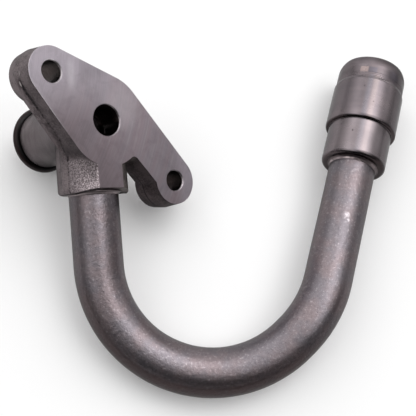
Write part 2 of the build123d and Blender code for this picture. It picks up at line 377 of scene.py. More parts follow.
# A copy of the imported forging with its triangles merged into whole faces
def forgingCopy():
    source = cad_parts["flange_body"]
    mesh = source.data.copy()
    mesh.name = "flangeForging"
    work = bmesh.new()
    work.from_mesh(mesh)
    bmesh.ops.remove_doubles(work, verts=work.verts, dist=1e-6)
    bmesh.ops.dissolve_limit(work, angle_limit=math.radians(flangeShape["flat"]), verts=work.verts, edges=work.edges)
    work.to_mesh(mesh)
    work.free()
    markEdges(mesh)
    mesh.materials.clear()
    piece = bpy.data.objects.new("flangeForging", mesh)
    bpy.context.scene.collection.objects.link(piece)
    return piece


flange = forgingCopy()
edges = flange.modifiers.new("brokenEdges", "BEVEL")
edges.width = flangeShape["edgeBreak"] * mm
edges.segments = flangeShape["segments"]
edges.limit_method = "WEIGHT"
edges.use_clamp_overlap = True
flange.data.shade_smooth()
flange.data.set_sharp_from_angle(angle=math.radians(flangeShape["sharp"]))
print("flange forging:", len(flange.data.polygons), "faces before its edges are broken")


def newMaterial(name):
    material = bpy.data.materials.new(name)
    material.use_nodes = True
    tree = material.node_tree
    tree.nodes.clear()
    return material, tree


black = (0.0, 0.0, 0.0)


# Adds a node, sets its plain settings, and fills its sockets with numbers or links
def add(tree, kind, sockets=None, **settings):
    node = tree.nodes.new(kind)
    for key, value in settings.items():
        setattr(node, key, value)
    for key, value in (sockets or {}).items():
        if isinstance(value, bpy.types.NodeSocket):
            tree.links.new(value, node.inputs[key])
        else:
            node.inputs[key].default_value = value
    return node


def mathNode(tree, operation, a, b=0.0, c=0.0):
    return add(tree, "ShaderNodeMath", {0: a, 1: b, 2: c}, operation=operation).outputs[0]


def vectorNode(tree, operation, a, b, output=0):
    return add(tree, "ShaderNodeVectorMath", {0: a, 1: b}, operation=operation).outputs[output]


# One operation chained over any number of values
def chain(tree, operation, *values):
    result = values[0]
    for value in values[1:]:
        result = mathNode(tree, operation, result, value)
    return result


def product(tree, *values):
    return chain(tree, "MULTIPLY", *values)


def largest(tree, *values):
    return chain(tree, "MAXIMUM", *values)


# How far a value is from a centre, either way
def away(tree, value, centre):
    return mathNode(tree, "ABSOLUTE", mathNode(tree, "SUBTRACT", value, centre))


def fromAxis(tree, x, y):
    return mathNode(tree, "SQRT", mathNode(tree, "ADD", product(tree, x, x), product(tree, y, y)))


# Maps a value from one span to another with soft ends
def spanNode(tree, value, low, high, toLow=0.0, toHigh=1.0):
    sockets = {"Value": value, "From Min": low, "From Max": high, "To Min": toLow, "To Max": toHigh}
    return add(tree, "ShaderNodeMapRange", sockets, interpolation_type="SMOOTHSTEP").outputs[0]


def noiseNode(tree, vector, scale, detail=3.0, roughness=0.55, distortion=0.0):
    sockets = {"Vector": vector, "Scale": scale, "Detail": detail, "Roughness": roughness, "Distortion": distortion}
    return add(tree, "ShaderNodeTexNoise", sockets).outputs["Fac"]


def mixColor(tree, factor, a, b):
    a, b = [value if isinstance(value, bpy.types.NodeSocket) else (*value, 1) for value in (a, b)]
    return add(tree, "ShaderNodeMix", {0: factor, 6: a, 7: b}, data_type="RGBA", clamp_factor=True).outputs[2]


def mixValue(tree, factor, a, b):
    return add(tree, "ShaderNodeMix", {0: factor, 2: a, 3: b}, data_type="FLOAT", clamp_factor=True).outputs[0]


# A round spot: 1 within the inner distance of a centre, 0 beyond the outer one
def spotNode(tree, vector, centre, inner, outer):
    return spanNode(tree, vectorNode(tree, "DISTANCE", vector, centre, "Value"), outer, inner)


# A mask: the product of soft steps along named values, times a strength. A step is the value's name and where it
# starts and ends, then where needed what it goes from and to
def zone(tree, axes, strength, *steps):
    return product(tree, *[spanNode(tree, axes[name], *ends) for name, *ends in steps], strength)


def zones(tree, axes, rows):
    return largest(tree, *[zone(tree, axes, *row) for row in rows])


# Lays colours over one another in a table's order. A row is the colour's name, then its mask's strength and steps
def paint(tree, axes, color, colors, rows):
    for name, *row in rows:
        color = mixColor(tree, zone(tree, axes, *row), color, colors[name])
    return color


# Object coordinates seen from a place, in millimetres, and the same split and named
def placeCoordinates(tree, place, names):
    spot, spin = Matrix(place).translation * mm, Matrix(place).to_euler("XYZ")
    coordinates = add(tree, "ShaderNodeTexCoord").outputs["Object"]
    vector = add(tree, "ShaderNodeMapping", {"Vector": coordinates, "Location": spot, "Rotation": spin,
                                             "Scale": (mm, mm, mm)}, vector_type="TEXTURE").outputs[0]
    return vector, dict(zip(names, add(tree, "ShaderNodeSeparateXYZ", {0: vector}).outputs))


def newGroup(name, inputs, outputs):
    group = bpy.data.node_groups.new(name, "ShaderNodeTree")
    for socketName, kind in inputs:
        group.interface.new_socket(name=socketName, in_out="INPUT", socket_type="NodeSocket" + kind)
    for socketName in outputs:
        group.interface.new_socket(name=socketName, in_out="OUTPUT", socket_type="NodeSocketFloat")
    return group, group.nodes.new("NodeGroupInput").outputs, group.nodes.new("NodeGroupOutput").inputs


blasting = {
    "blotchNoise": (4.0, 0.6),    # detail and roughness
    "grainNoise": (3.0, 0.65),
    "coarseNoise": (2.0, 0.5),
    "coarseScale": 0.35,          # beside the grain's own scale
    "cellScale": 0.8,
    "glintReach": (0.22, 0.08),
    "glintGrain": (0.5, 0.62),
    "grainHeight": 0.6,
    "coarseHeight": 0.8,
}


# Blasted steel: soft blotches, a fine grain and a mask of painted glints, from coordinates in millimetres
def blastedGroup():
    b = blasting
    inputs = [("Vector", "Vector"), ("Blotch Size", "Float"), ("Grain Size", "Float"), ("Painted Glints", "Float")]
    group, given, out = newGroup("blastedGrain", inputs, ["Blotches", "Grain", "Painted Glints", "Height"])
    vector = given["Vector"]
    blotchScale = mathNode(group, "DIVIDE", 1.0, given["Blotch Size"])
    grainScale = mathNode(group, "DIVIDE", 1.0, given["Grain Size"])
    grain = noiseNode(group, vector, grainScale, *b["grainNoise"])
    coarse = noiseNode(group, vector, product(group, grainScale, b["coarseScale"]), *b["coarseNoise"])
    cellSockets = {"Vector": vector, "Scale": product(group, grainScale, b["cellScale"])}
    cells = add(group, "ShaderNodeTexVoronoi", cellSockets, feature="F1").outputs["Distance"]
    bright = spanNode(group, grain, *b["glintGrain"])
    paintedGlints = product(group, spanNode(group, cells, *b["glintReach"]), bright, given["Painted Glints"])
    fineHeight, coarseHeight = product(group, grain, b["grainHeight"]), product(group, coarse, b["coarseHeight"])
    height = mathNode(group, "ADD", fineHeight, coarseHeight)
    group.links.new(noiseNode(group, vector, blotchScale, *b["blotchNoise"]), out["Blotches"])
    group.links.new(grain, out["Grain"])
    group.links.new(paintedGlints, out["Painted Glints"])
    group.links.new(height, out["Height"])
    return group


# Of each kind of mark: how much its noise is stretched along the cut, bent and moved, then its detail and roughness
cutting = {
    "lines": (1.0, 1.5, 0.0, 3.0, 0.7),
    "streaks": (0.3, 2.0, 7.0, 1.0, 0.55),
    "bands": (0.08, 1.0, 0.0, 2.0, 0.6),
    "bend": (0.06, 2.0),          # scale and detail
    "patches": (0.08, 2.0),
    "streakSpan": (0.5, 0.75),
    "patchSpan": (0.42, 0.62),
}


# Cutter marks: fine lines that follow one distance, a few brighter streaks, and wide soft bands
def cutterGroup():
    c = cutting
    group, given, out = newGroup("cutterMarks", [("Distance", "Float"), ("Across", "Vector"), ("Pitch", "Float")],
                                 ["Lines", "Streaks", "Bands"])
    fine = mathNode(group, "DIVIDE", given["Distance"], given["Pitch"])
    wander = noiseNode(group, given["Across"], *c["bend"])

    def marks(stretch, bend, level, detail, roughness):
        place = add(group, "ShaderNodeCombineXYZ", {0: product(group, fine, stretch), 1: product(group, wander, bend),
                                                    2: level}).outputs[0]
        return noiseNode(group, place, 1.0, detail, roughness)

    patches = spanNode(group, noiseNode(group, given["Across"], *c["patches"]), *c["patchSpan"])
    streaks = product(group, spanNode(group, marks(*c["streaks"]), *c["streakSpan"]), patches)
    group.links.new(marks(*c["lines"]), out["Lines"])
    group.links.new(streaks, out["Streaks"])
    group.links.new(marks(*c["bands"]), out["Bands"])
    return group


blastedGrain = blastedGroup()
cutterMarks = cutterGroup()


# A group node's outputs, with its inputs filled in their order
def grouped(tree, group, *values):
    return add(tree, "ShaderNodeGroup", dict(enumerate(values)), node_tree=group).outputs


# Values of the painted shade at glancing angles and where a surface faces forward at a slant
paintedGlancingShade = {
    "blend": 0.5,
    "power": 1.4,
    "forward": (-0.25, -0.95, 0.0),
    "forwardSpan": (0.0, 0.8),
    "facingSpan": (0.12, 0.27),
    "shade": (0.018, 0.008, 0.007),
}


# Painted shade: the colour is darkened at a glancing angle, times 1 - depth * facing^1.4, in place of dark
# surroundings. Where it faces forward, at a slant to the camera, a painted dark shade is mixed in as well
def glancing(tree, color, depth, front=0.0):
    skinAndShade = paintedGlancingShade
    facing = add(tree, "ShaderNodeLayerWeight", {"Blend": skinAndShade["blend"]}).outputs["Facing"]
    color = mixColor(tree, product(tree, mathNode(tree, "POWER", facing, skinAndShade["power"]), depth), color, black)
    normal = add(tree, "ShaderNodeNewGeometry").outputs["Normal"]
    forward = vectorNode(tree, "DOT_PRODUCT", normal, skinAndShade["forward"], "Value")
    slant = spanNode(tree, facing, *skinAndShade["facingSpan"])
    shaded = product(tree, spanNode(tree, forward, *skinAndShade["forwardSpan"]), slant, front)
    return mixColor(tree, shaded, color, skinAndShade["shade"])


def finishMaterial(tree, color, roughness, height, bumpDistance, metallic=1.0, tint=0.8, ior=1.45):
    bump = add(tree, "ShaderNodeBump", {"Height": height, "Strength": 1.0, "Distance": bumpDistance})
    shader = add(tree, "ShaderNodeBsdfPrincipled", {"Base Color": color, "Roughness": roughness, "Metallic": metallic,
                                                    "Normal": bump.outputs[0], "IOR": ior,
                                                    "Specular Tint": (tint, tint, tint, 1)})
    add(tree, "ShaderNodeOutputMaterial", {"Surface": shader.outputs[0]})


tubeSteel = {
    "cool": (0.205, 0.185, 0.202),
    "warm": (0.24, 0.197, 0.206),
    "pit": (0.05, 0.042, 0.045),
    "paintedGlint": (0.62, 0.56, 0.58),
    "bright": (0.7, 0.65, 0.68),
    "roughness": (0.31, 0.42),
    "bump": 0.00015,
    # glancing is the depth of the painted glancing shade, front the strength of the painted shade where the tube
    # faces forward
    "glancing": 0.9,
    "front": 0.77,
    "grain": (11.0, 0.55, 0.8),   # blotch size, grain size and strength of the painted glints
    "warmSpan": (0.36, 0.64),
    "pitSpan": (0.4, 0.22),
    "scuffNoise": (0.9, 4.0, 0.7),
    # light scuffs are painted sparkle, dark ones are pits
    "sparkleAndPits": (("paintedGlint", 1.0, ("scuff", 0.54, 0.72, 0.0, 0.38)), ("pit", 1.0, ("scuff", 0.46, 0.3, 0.0, 0.3))),
    "rubbed": (((83.0, -43.9, 48.3), 0.2, 1.8), ((82.6, -46.2, 48.9), 0.2, 0.9)),  # spots on the last leg
    "rubbedScuff": (0.4, 0.55, 0.1, 0.7),
}


def tubeMaterial():
    t = tubeSteel
    material, tree = newMaterial("tubeSteel")
    vector, axes = placeCoordinates(tree, flangeAxes, "xyz")
    blasted = grouped(tree, blastedGrain, vector, *t["grain"])
    axes["scuff"] = noiseNode(tree, vector, *t["scuffNoise"])
    color = mixColor(tree, spanNode(tree, blasted["Blotches"], *t["warmSpan"]), t["cool"], t["warm"])
    color = mixColor(tree, spanNode(tree, blasted["Grain"], *t["pitSpan"]), color, t["pit"])
    # painted glints, then painted sparkle and pits in the scuffs
    color = mixColor(tree, blasted["Painted Glints"], color, t["paintedGlint"])
    color = paint(tree, axes, color, t, t["sparkleAndPits"])
    spots = largest(tree, *[spotNode(tree, vector, *spot) for spot in t["rubbed"]])
    color = mixColor(tree, product(tree, spots, spanNode(tree, axes["scuff"], *t["rubbedScuff"])), color, t["bright"])
    rough = mixValue(tree, blasted["Blotches"], *t["roughness"])
    finishMaterial(tree, glancing(tree, color, t["glancing"], t["front"]), rough, blasted["Height"], t["bump"])
    return material


# Heights are along the fitting's axis from its lower face, and x runs across it as the photo shows it
turnedSteel = {
    "dark": (0.178, 0.154, 0.167),
    "light": (0.235, 0.198, 0.208),
    "dirtAndShade": (0.035, 0.029, 0.03),
    "paintedLightReflection": (0.385, 0.3, 0.29),
    "paintedDarkReflection": (0.085, 0.076, 0.092),
    "paintedBlueReflection": (0.13, 0.126, 0.158),
    "collar": (0.27, 0.235, 0.245),
    "warmPaintedHighlight": (0.62, 0.5, 0.45),
    "coolPaintedHighlight": (0.2, 0.205, 0.245),
    "paintedStepHighlight": (0.72, 0.62, 0.65),
    "roughness": (0.24, 0.3),
    "endRoughness": (0.46, (43.8, 45.2)),
    "bump": 0.000016,
    "grainBump": 0.6,
    # glancing: depth of the painted glancing shade, and where it is weaker; front: strength of the painted front
    # shade
    "glancing": (0.88, 0.1),
    "front": 0.5,
    "grain": (12.0, 0.5, 0.4),
    "pitch": 0.3,
    "shades": (0.35, 0.65),       # of the cutter's bands and of the blotches
    "lightSpan": (0.34, 0.66),
    # Painted highlight stripes: a warm one in the main highlight and a cool one beside it
    "paintedStripes": {"warm": -6.9, "cool": -4.3},
    "paintedStripeRows": (
        ("warmPaintedHighlight", 0.12, ("fromWarm", 1.6, 0.3), ("height", 40.5, 38.5)),
        ("coolPaintedHighlight", 0.3, ("fromCool", 1.6, 0.3), ("height", 40.5, 38.5)),
    ),
    # darker toward both sides over the grooves
    "sides": ((1.0, ("x", -3.0, -6.0)), (1.0, ("x", 3.0, 7.0))),
    "sideSteps": (0.3, ("height", 39.8, 41.5)),
    # painted shade toward the mouth end, darker on the far left side, a painted highlight on the step up to the band
    # where it faces the light, painted shade on the step's sides, and the collar a little lighter
    "paintedShadeAndHighlight": (
        ("dirtAndShade", 1.0, ("height", 45.5, 48.0, 0.0, 0.3)),
        ("dirtAndShade", 1.0, ("x", -12.0, -13.5, 0.0, 0.28)),
        ("paintedStepHighlight", 0.85, ("height", 37.0, 37.35), ("height", 38.2, 37.85), ("x", -3.5, -9.5), ("x", -13.5, -10.5)),
        ("dirtAndShade", 0.45, ("height", 37.0, 37.35), ("height", 38.2, 37.85), ("x", 2.0, 8.0)),
        ("dirtAndShade", 0.5, ("height", 37.0, 37.35), ("height", 38.2, 37.85), ("x", -10.5, -13.0)),
        ("collar", 0.35, ("height", 17.6, 17.0)),
    ),
    # a painted light reflection with a painted bluish dark reflection beside it: the colour, where its middle is, and
    # how strong it is
    "patches": (("paintedLightReflection", -0.6, 0.8), ("paintedBlueReflection", -4.3, 0.55)),
    "patchHeight": 41.7,
    "patchSlim": 0.8,
    "patchSpan": (1.65, 1.1),
    "patchFront": (9.0, 12.0),
    # a painted dark reflection on the band
    "darkReflectionSpot": ((-12.7, 7.9, 41.6), 1.0, 4.4),
    "darkReflectionDepth": 0.75,
    # painted shade over the braze, and painted shadow under and over the shoulder
    "paintedShadows": (
        (1.0, ("height", 1.3, 0.2), ("x", -8.0, -1.0, 0.85, 0.42)),
        (1.0, ("height", 2.3, 1.3), ("x", -8.0, -1.5, 0.75, 0.0)),
        (1.0, ("height", 18.1, 17.3), ("height", 16.6, 17.0), ("x", -11.0, -4.0, 0.1, 0.65)),
        (0.5, ("height", 19.2, 18.2), ("height", 17.2, 17.4), ("x", -1.0, -5.0)),
    ),
    "specks": ((-0.99, 13.8, 10.43), (-0.95, 13.8, 10.9), (-2.38, 15.27, 32.6), (-7.32, 13.61, 25.54)),
    "speckSize": (0.1, 0.42),
    "speckDepth": 0.75,
    # the rounded end and the step, where the painted glancing shade is weaker
    "plain": (
        (1.0, ("height", 41.5, 45.5), ("fromMiddle", 14.0, 8.0, 0.3, 1.0)),
        (0.6, ("height", 36.9, 37.3), ("height", 38.4, 38.0), ("y", 8.0, 13.0)),
    ),
}


def fittingMaterial():
    t = turnedSteel
    material, tree = newMaterial("turnedSteel")
    vector, axes = placeCoordinates(tree, fittingPlace, ("x", "y", "height"))
    axes["fromWarm"] = away(tree, axes["x"], t["paintedStripes"]["warm"])
    axes["fromCool"] = away(tree, axes["x"], t["paintedStripes"]["cool"])
    axes["fromMiddle"] = mathNode(tree, "ABSOLUTE", axes["x"])
    marks = grouped(tree, cutterMarks, axes["height"], vector, t["pitch"])
    blasted = grouped(tree, blastedGrain, vector, *t["grain"])
    bands, blotches = t["shades"]
    shade = mathNode(tree, "ADD", product(tree, marks["Bands"], bands), product(tree, blasted["Blotches"], blotches))
    color = mixColor(tree, spanNode(tree, shade, *t["lightSpan"]), t["dark"], t["light"])
    # painted highlight stripes
    color = paint(tree, axes, color, t, t["paintedStripeRows"])
    sides = product(tree, zones(tree, axes, t["sides"]), zone(tree, axes, *t["sideSteps"]))
    # darker sides over the grooves, then painted shade and a painted highlight on the mouth end and the step
    color = paint(tree, axes, mixColor(tree, sides, color, t["dirtAndShade"]), t, t["paintedShadeAndHighlight"])
    # painted reflections on the band
    for name, centre, strength in t["patches"]:
        fromPatch = largest(tree, product(tree, away(tree, axes["x"], centre), t["patchSlim"]),
                            away(tree, axes["height"], t["patchHeight"]))
        inFront = spanNode(tree, axes["y"], *t["patchFront"])
        patch = product(tree, spanNode(tree, fromPatch, *t["patchSpan"]), inFront, strength)
        color = mixColor(tree, patch, color, t[name])
    darkReflectionSpot = product(tree, spotNode(tree, vector, *t["darkReflectionSpot"]), t["darkReflectionDepth"])
    color = mixColor(tree, darkReflectionSpot, color, t["paintedDarkReflection"])
    # painted shade over the braze and painted shadow at the shoulder
    color = mixColor(tree, zones(tree, axes, t["paintedShadows"]), color, t["dirtAndShade"])
    specks = largest(tree, *[spotNode(tree, vector, centre, *t["speckSize"]) for centre in t["specks"]])
    color = mixColor(tree, product(tree, specks, t["speckDepth"]), color, t["dirtAndShade"])
    rough = mixValue(tree, blasted["Blotches"], *t["roughness"])
    endRough, endSpan = t["endRoughness"]
    rough = mixValue(tree, spanNode(tree, axes["height"], *endSpan), rough, endRough)
    relief = mathNode(tree, "ADD", marks["Lines"], product(tree, blasted["Height"], t["grainBump"]))
    depth = mixValue(tree, zones(tree, axes, t["plain"]), *t["glancing"])
    finishMaterial(tree, glancing(tree, color, depth, t["front"]), rough, relief, t["bump"])
    return material


# In the flange's coordinates: z is 0 on the milled face, y runs up in the photo, and the neck runs toward -y.
# fromSeam is how far in front of the parting line a place is
forgedSteel = {
    "front": (0.175, 0.145, 0.152),
    "rearPaintedLight": (0.29, 0.242, 0.252),
    "ear": (0.45, 0.383, 0.395),
    # under is painted shade on the side that faces down, and the colour of the spigot's turned lines and shaded band
    "under": (0.155, 0.125, 0.13),
    "neck": (0.35, 0.295, 0.305),
    "neckRight": (0.42, 0.37, 0.355),
    "spigot": (0.345, 0.3, 0.312),
    "spigotLight": (0.8, 0.7, 0.71),
    # line is the dark parting line and dull blotches, and painted shade in the notch and at the neck's end
    "line": (0.02, 0.016, 0.018),
    "stain": (0.07, 0.052, 0.056),
    "patch": (0.18, 0.15, 0.158),
    "patchLight": (0.7, 0.61, 0.63),
    "chip": (0.55, 0.5, 0.5),
    # bore is painted shade inside the holes, chamfer the lighter cut edge at their mouths
    "bore": (0.062, 0.047, 0.045),
    "chamfer": (0.42, 0.38, 0.4),
    "roughness": {"forged": 0.6, "spigot": 0.45, "cut": 0.33},
    "bump": 0.00012,
    "grainBump": 1.5,
    "cutBump": 0.2,
    "glancing": 0.85,
    "grain": (7.0, 0.6, 0.4),
    "milledDepth": (-0.10, -0.02),
    "portSpot": (7.0, 7.05),
    "boltSpot": (4.9, 4.95),
    "drilledDepth": (-14.5, -14.0),
    "boreDepth": (-1.0, -0.6),
    "spigotSpot": (12.1, 12.4),
    "spigotDepth": (-19.0, -21.0),
    # the parting line: its height by x, how far it wanders, how wide it is by y, and where it is broken
    "seamHeight": (-19.0, -13.5, -6.2, -8.7),
    "wanderNoise": (0.35, 2.0),
    "wander": -0.9,
    "seamWidth": ((2.0, 10.0, 0.75, 1.25), (-14.0, -18.0, 0.0, -0.3)),
    "brokenNoise": (1.1, 2.0, 0.6),
    "dots": ((1.0, ("broken", 0.45, 0.58)), (1.0, ("y", 1.0, 8.0, 0.1, 0.7))),
    "seam": (1.0, ("acrossSeam", 1.0, 0.4), ("x", 4.0, 2.0), ("y", 16.5, 13.5)),
    "lowerSeamDepth": -8.5,
    "lowerSeam": (0.75, ("fromLowerSeam", 0.5, 0.2), ("x", 17.0, 21.0)),
    "stainCentre": -1.0,
    "stainNoise": (0.5, 3.0),
    # painted light on the rear half and the upper ear, painted shade on both halves of the notch's wall and on the
    # side that faces down, lighter tones on the neck and the neck's right side, and dull blotches over all
    "skinAndShade": (
        ("rearPaintedLight", 1.0, ("fromSeam", 0.3, -0.5)),
        ("ear", 1.0, ("y", 10.0, 24.0)),
        ("line", 0.5, ("fromSeam", -0.5, 0.3), ("y", -5.0, -15.0)),
        ("line", 0.35, ("fromSeam", 0.3, -0.5), ("y", -14.0, -9.0), ("y", -1.0, -5.0)),
        ("neck", 1.0, ("y", -12.0, -16.5), ("x", 6.0, 3.0)),
        ("under", 1.0, ("x", 3.0, 7.0)),
        ("neckRight", 1.0, ("x", 15.0, 12.0), ("x", 3.0, 7.0), ("y", -12.0, -15.0)),
        ("line", 1.0, ("dull", 0.58, 0.38, 0.0, 0.6)),
    ),
    "dullShares": (0.6, 0.4),     # of the blotches and of the grain
    "spigotStretch": (0.1, 0.1, 0.45),
    # on the spigot: darker turned lines, and a painted shade band across it
    "spigotRows": (
        ("under", 1.0, ("turnedLines", 0.35, 0.65, 0.3, 0.0)),
        ("under", 0.4, ("y", 3.0, -1.0), ("y", -9.5, -7.0), ("z", -27.0, -34.0)),
    ),
    # painted light on three parts of the spigot
    "spigotLit": (
        (0.6, ("y", -8.5, -12.5), ("z", -41.0, -34.0)),
        (0.33, ("y", -1.0, 5.0), ("z", -36.0, -42.0)),
        (0.9, ("z", -42.0, -45.5), ("y", -5.0, 4.0)),
    ),
    # the rough bright patch on the neck, in front of the parting line, and painted shade at the neck's end
    "patchNoise": (2.1, 3.0, 0.6),
    "patchPlace": (1.0, ("fromNeck", 14.5, 14.2), ("fromSeam", 0.0, 0.4), ("x", -5.2, -5.5), ("y", -14.0, -16.0)),
    "sparkle": (1.0, ("sparks", 0.38, 0.66), ("y", -28.3, -26.0, 0.4, 1.0), ("z", -9.0, -4.0, 0.6, 1.0)),
    "marks": (
        ("line", 1.0, ("y", -27.4, -28.1, 0.0, 0.75), ("z", -14.0, -10.0), ("x", 14.0, 12.5)),
        ("stain", 1.0, ("fromStain", 2.8, 0.4), ("stains", 0.3, 0.6, 0.2, 0.75), ("y", 16.5, 13.5),
         ("y", -16.0, -13.0)),
    ),
    "chipStretch": (1.0, 0.45, 1.6),
    "chips": ((1.0, (-33.2, 5.9, -11.4), 0.3, 0.9), (0.6, (-33.9, 7.7, -9.6), 0.2, 0.7)),
}

# The milled face: across falls toward its lower left edge, upward rises to its top, and fromBow is the distance from
# a bow-shaped painted highlight. Painted shade darkens it toward that edge, painted light brightens it toward the top
milledSteel = {
    "warm": (0.45, 0.368, 0.405),
    "cool": (0.435, 0.385, 0.428),
    "edge": (0.32, 0.262, 0.285),
    "light": (0.607, 0.545, 0.607),
    "streak": (0.56, 0.5, 0.535),
    "edgeLight": (0.95, 0.9, 0.95),
    "black": black,
    "cutter": (-75.0, 30.0, 0.0),
    "pitch": 0.5,
    "across": {"x": 0.8, "y": 0.6},
    "upward": 0.35,
    "bow": -15.2,
    "bandSpan": (0.35, 0.65),
    # painted shade toward the lower left edge, and painted light toward the top and the right end
    "edgeRows": (("edge", 1.0, ("across", 8.0, -24.0)),),
    "lit": ((1.0, ("upward", 1.0, 29.0)), (1.0, ("x", 32.0, 39.0, 0.0, 0.9))),
    "mottleNoise": (0.16, 4.0, 0.6, 0.6),
    "shades": (("black", 1.0, ("mottle", 0.56, 0.36, 0.0, 0.1)), ("black", 0.08, ("lines", 0.62, 0.38))),
    "streakStrength": (-14.0, 6.0, 0.17, 0.42),
    # a darker patch, and a bow-shaped painted highlight
    "darkPatchAndHighlight": (
        ("black", 0.2, ("x", -13.0, -10.0), ("upward", 15.0, 21.0)),
        ("edgeLight", 0.28, ("fromBow", 2.8, 0.4), ("y", 9.0, 15.0), ("y", 25.0, 19.0)),
    ),
    # a broad painted highlight to the right of the port
    "spot": ((7.5, 5.5, 0.0), 3.0, 12.0),
    "spotStrength": 0.25,
    # a painted highlight on the upper ear's broken edge
    "rim": (("edgeLight", 1.0, ("z", -0.26, -0.18), ("x", -16.0, -26.0)),),
}


# The parting line, uneven and broken, with the lower ear's own line
def seamMask(tree, axes, vector):
    f = forgedSteel
    width = mathNode(tree, "ADD", *[spanNode(tree, axes["y"], *ends) for ends in f["seamWidth"]])
    axes["acrossSeam"] = mathNode(tree, "DIVIDE", mathNode(tree, "ABSOLUTE", axes["fromSeam"]), width)
    axes["broken"] = noiseNode(tree, vector, *f["brokenNoise"])
    axes["fromLowerSeam"] = away(tree, axes["z"], f["lowerSeamDepth"])
    line = product(tree, zones(tree, axes, f["dots"]), zone(tree, axes, *f["seam"]))
    return largest(tree, line, zone(tree, axes, *f["lowerSeam"]))


# The forged skin with its painted light and shade, the turned spigot with its own, and the marks on them
def forgedColor(tree, axes, vector, spigot, blasted):
    f = forgedSteel
    wander = product(tree, noiseNode(tree, vector, *f["wanderNoise"]), f["wander"])
    seam = mathNode(tree, "ADD", spanNode(tree, axes["x"], *f["seamHeight"]), wander)
    axes["fromSeam"] = mathNode(tree, "SUBTRACT", axes["z"], seam)
    axes["fromStain"] = away(tree, axes["fromSeam"], f["stainCentre"])
    axes["stains"] = noiseNode(tree, vector, *f["stainNoise"])
    axes["fromNeck"] = fromAxis(tree, axes["x"], mathNode(tree, "ADD", axes["z"], route["depth"]))
    axes["sparks"] = noiseNode(tree, vector, *f["patchNoise"])
    axes["dull"] = mathNode(tree, "ADD", product(tree, blasted["Blotches"], f["dullShares"][0]),
                            product(tree, blasted["Grain"], f["dullShares"][1]))
    axes["turnedLines"] = noiseNode(tree, vectorNode(tree, "MULTIPLY", vector, f["spigotStretch"]), 1.0)

    color = paint(tree, axes, f["front"], f, f["skinAndShade"])
    turnedSkin = paint(tree, axes, f["spigot"], f, f["spigotRows"])
    # painted light on the spigot
    turnedSkin = mixColor(tree, zones(tree, axes, f["spigotLit"]), turnedSkin, f["spigotLight"])
    color = mixColor(tree, spigot, color, turnedSkin)
    patch = mixColor(tree, zone(tree, axes, *f["sparkle"]), f["patch"], f["patchLight"])
    color = mixColor(tree, zone(tree, axes, *f["patchPlace"]), color, patch)
    color = paint(tree, axes, color, f, f["marks"])
    color = mixColor(tree, seamMask(tree, axes, vector), color, f["line"])
    stretched = vectorNode(tree, "MULTIPLY", vector, f["chipStretch"])
    chips = [product(tree, spotNode(tree, stretched, *spot), strength) for strength, *spot in f["chips"]]
    return mixColor(tree, largest(tree, *chips), color, f["chip"])


# The milled face, with the cutter's arcs about a centre off the part's left side, painted light and shade, and
# painted highlights
def milledColor(tree, axes, vector, flat, marks):
    m = milledSteel
    axes["lines"] = marks["Lines"]
    axes["across"] = mathNode(tree, "ADD", *[product(tree, axes[name], m["across"][name]) for name in "xy"])
    axes["upward"] = mathNode(tree, "SUBTRACT", axes["y"], product(tree, axes["x"], m["upward"]))
    axes["mottle"] = noiseNode(tree, vector, *m["mottleNoise"])
    axes["fromBow"] = away(tree, axes["x"], m["bow"])
    face = mixColor(tree, spanNode(tree, marks["Bands"], *m["bandSpan"]), m["warm"], m["cool"])
    face = paint(tree, axes, face, m, m["edgeRows"])
    face = mixColor(tree, zones(tree, axes, m["lit"]), face, m["light"])
    face = paint(tree, axes, face, m, m["shades"])
    streaks = product(tree, marks["Streaks"], spanNode(tree, axes["x"], *m["streakStrength"]))
    face = paint(tree, axes, mixColor(tree, streaks, face, m["streak"]), m, m["darkPatchAndHighlight"])
    return mixColor(tree, product(tree, spotNode(tree, flat, *m["spot"]), m["spotStrength"]), face, m["edgeLight"])


def forgingMaterial():
    f, m = forgedSteel, milledSteel
    material, tree = newMaterial("forgedSteel")
    vector, axes = placeCoordinates(tree, flangeAxes, "xyz")
    flat = add(tree, "ShaderNodeCombineXYZ", {0: axes["x"], 1: axes["y"]}).outputs[0]
    blasted = grouped(tree, blastedGrain, vector, *f["grain"])
    fromCutter = vectorNode(tree, "DISTANCE", vector, m["cutter"], "Value")
    marks = grouped(tree, cutterMarks, fromCutter, vector, m["pitch"])

    # where each kind of surface is
    milled = spanNode(tree, axes["z"], *f["milledDepth"])
    holes = [spotNode(tree, flat, (*centre, 0.0), *f["boltSpot"]) for centre in boltHoles]
    drilled = largest(tree, spotNode(tree, flat, (0.0, 0.0, 0.0), *f["portSpot"]), *holes)
    drilled = product(tree, drilled, spanNode(tree, axes["z"], *f["drilledDepth"]))
    spigot = product(tree, spanNode(tree, axes["z"], *f["spigotDepth"]),
                     spotNode(tree, flat, (0.0, -flangePlace["spigotDrop"], 0.0), *f["spigotSpot"]))

    color = forgedColor(tree, axes, vector, spigot, blasted)
    # painted shade inside the holes, with their lighter chamfers
    inHole = mixColor(tree, spanNode(tree, axes["z"], *f["boreDepth"]), f["bore"], f["chamfer"])
    color = glancing(tree, mixColor(tree, drilled, color, inHole), f["glancing"])
    face = milledColor(tree, axes, vector, flat, marks)
    # painted highlight on the upper ear's broken edge, then the milled face over the rest
    color = mixColor(tree, milled, paint(tree, axes, color, m, m["rim"]), face)

    rough = mixValue(tree, spigot, f["roughness"]["forged"], f["roughness"]["spigot"])
    rough = mixValue(tree, largest(tree, milled, drilled), rough, f["roughness"]["cut"])
    grainRelief = product(tree, blasted["Height"], f["grainBump"])
    relief = mixValue(tree, milled, grainRelief, product(tree, marks["Lines"], f["cutBump"]))
    finishMaterial(tree, color, rough, relief, f["bump"])
    return material


